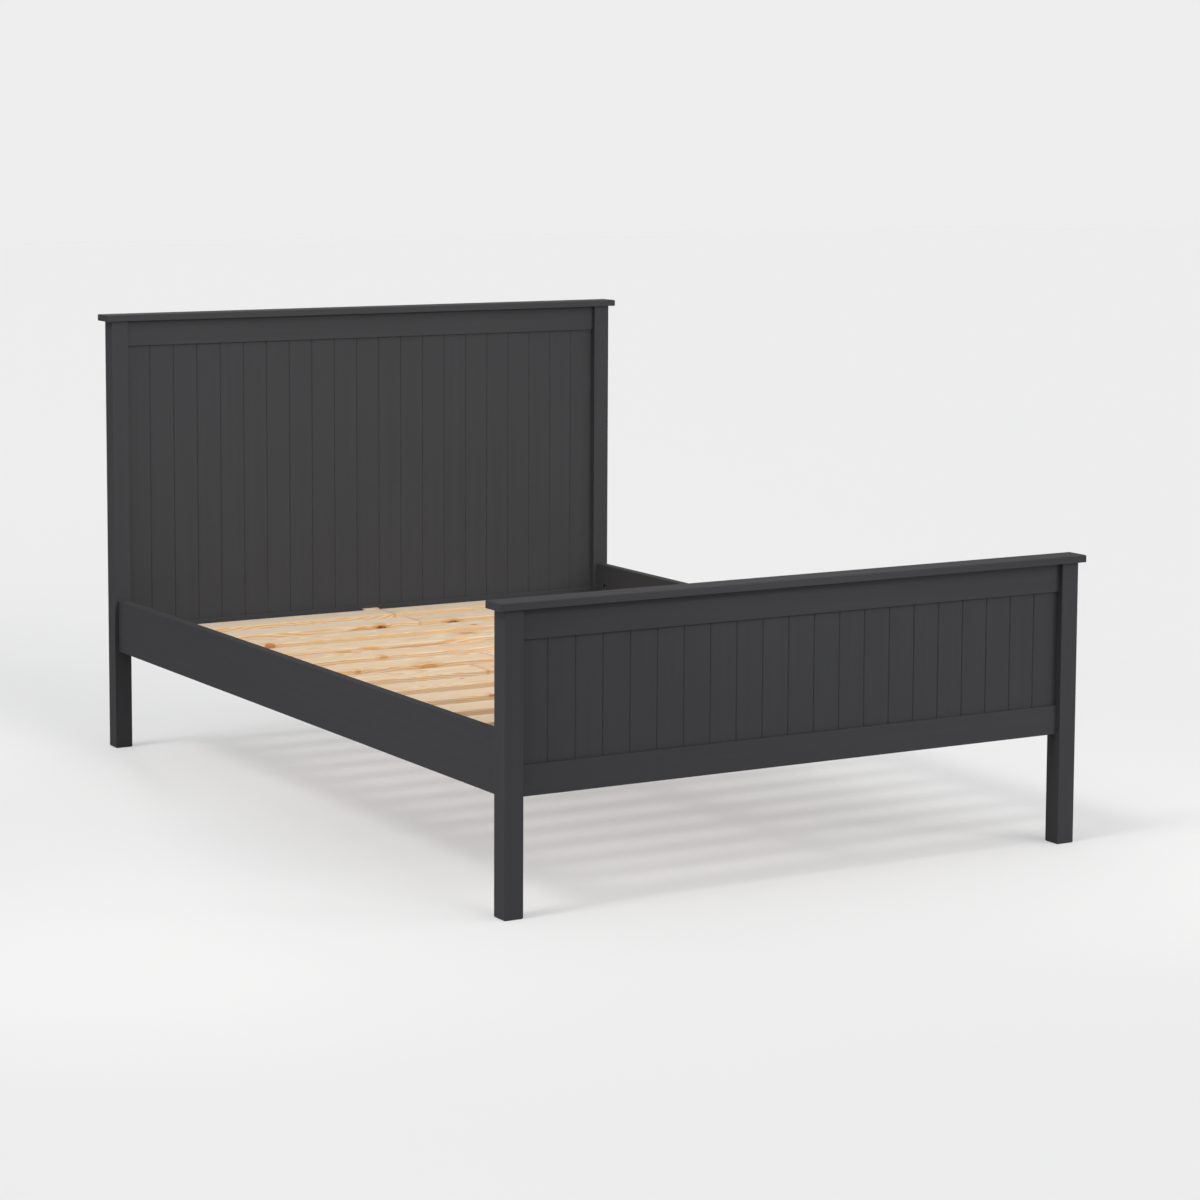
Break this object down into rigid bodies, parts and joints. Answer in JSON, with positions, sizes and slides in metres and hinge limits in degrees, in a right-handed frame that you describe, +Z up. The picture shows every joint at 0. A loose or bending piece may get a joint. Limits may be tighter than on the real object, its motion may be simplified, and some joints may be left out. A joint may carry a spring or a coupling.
{
  "type": "bed frame",
  "caption": "Double bed frame with square posts, tongue-and-groove end panels between rails, flat caps, bolted side rails and a slatted base on ledgers and a centre rail.",
  "frame": {"origin": "on the floor, under the middle of the bed frame", "axes": "+X across the bed towards its right side seen from the foot, +Y from the foot end to the head end, +Z up"},
  "size_m": [1.514, 2.148, 1.126],
  "materials": {
    "anthracite_paint": "satin paint",
    "pine": "planed, unfinished",
    "zinc_steel": "zinc plated",
    "beech": "turned, unfinished"
  },
  "bodies": {
    "root": {"head_left_post": "anthracite_paint", "head_right_post": "anthracite_paint", "head_upper_rail": "anthracite_paint", "head_lower_rail": "anthracite_paint", "head_boards": "anthracite_paint", "head_cap": "anthracite_paint", "foot_left_post": "anthracite_paint", "foot_right_post": "anthracite_paint", "foot_upper_rail": "anthracite_paint", "foot_lower_rail": "anthracite_paint", "foot_boards": "anthracite_paint", "foot_cap": "anthracite_paint", "left_side_rail": "anthracite_paint", "right_side_rail": "anthracite_paint", "left_slat_ledger": "pine", "right_slat_ledger": "pine", "slat_01": "pine", "slat_02": "pine", "slat_03": "pine", "slat_04": "pine", "slat_05": "pine", "slat_06": "pine", "slat_07": "pine", "slat_08": "pine", "slat_09": "pine", "slat_10": "pine", "slat_11": "pine", "slat_12": "pine", "slat_13": "pine", "slat_14": "pine", "centre_rail": "pine", "head_centre_block": "pine", "foot_centre_block": "pine", "centre_leg": "pine", "corner_studs": "zinc_steel", "corner_washers": "zinc_steel", "corner_nuts": "zinc_steel", "centre_leg_stud": "zinc_steel", "corner_dowels": "beech"}
  },
  "joints": []
}
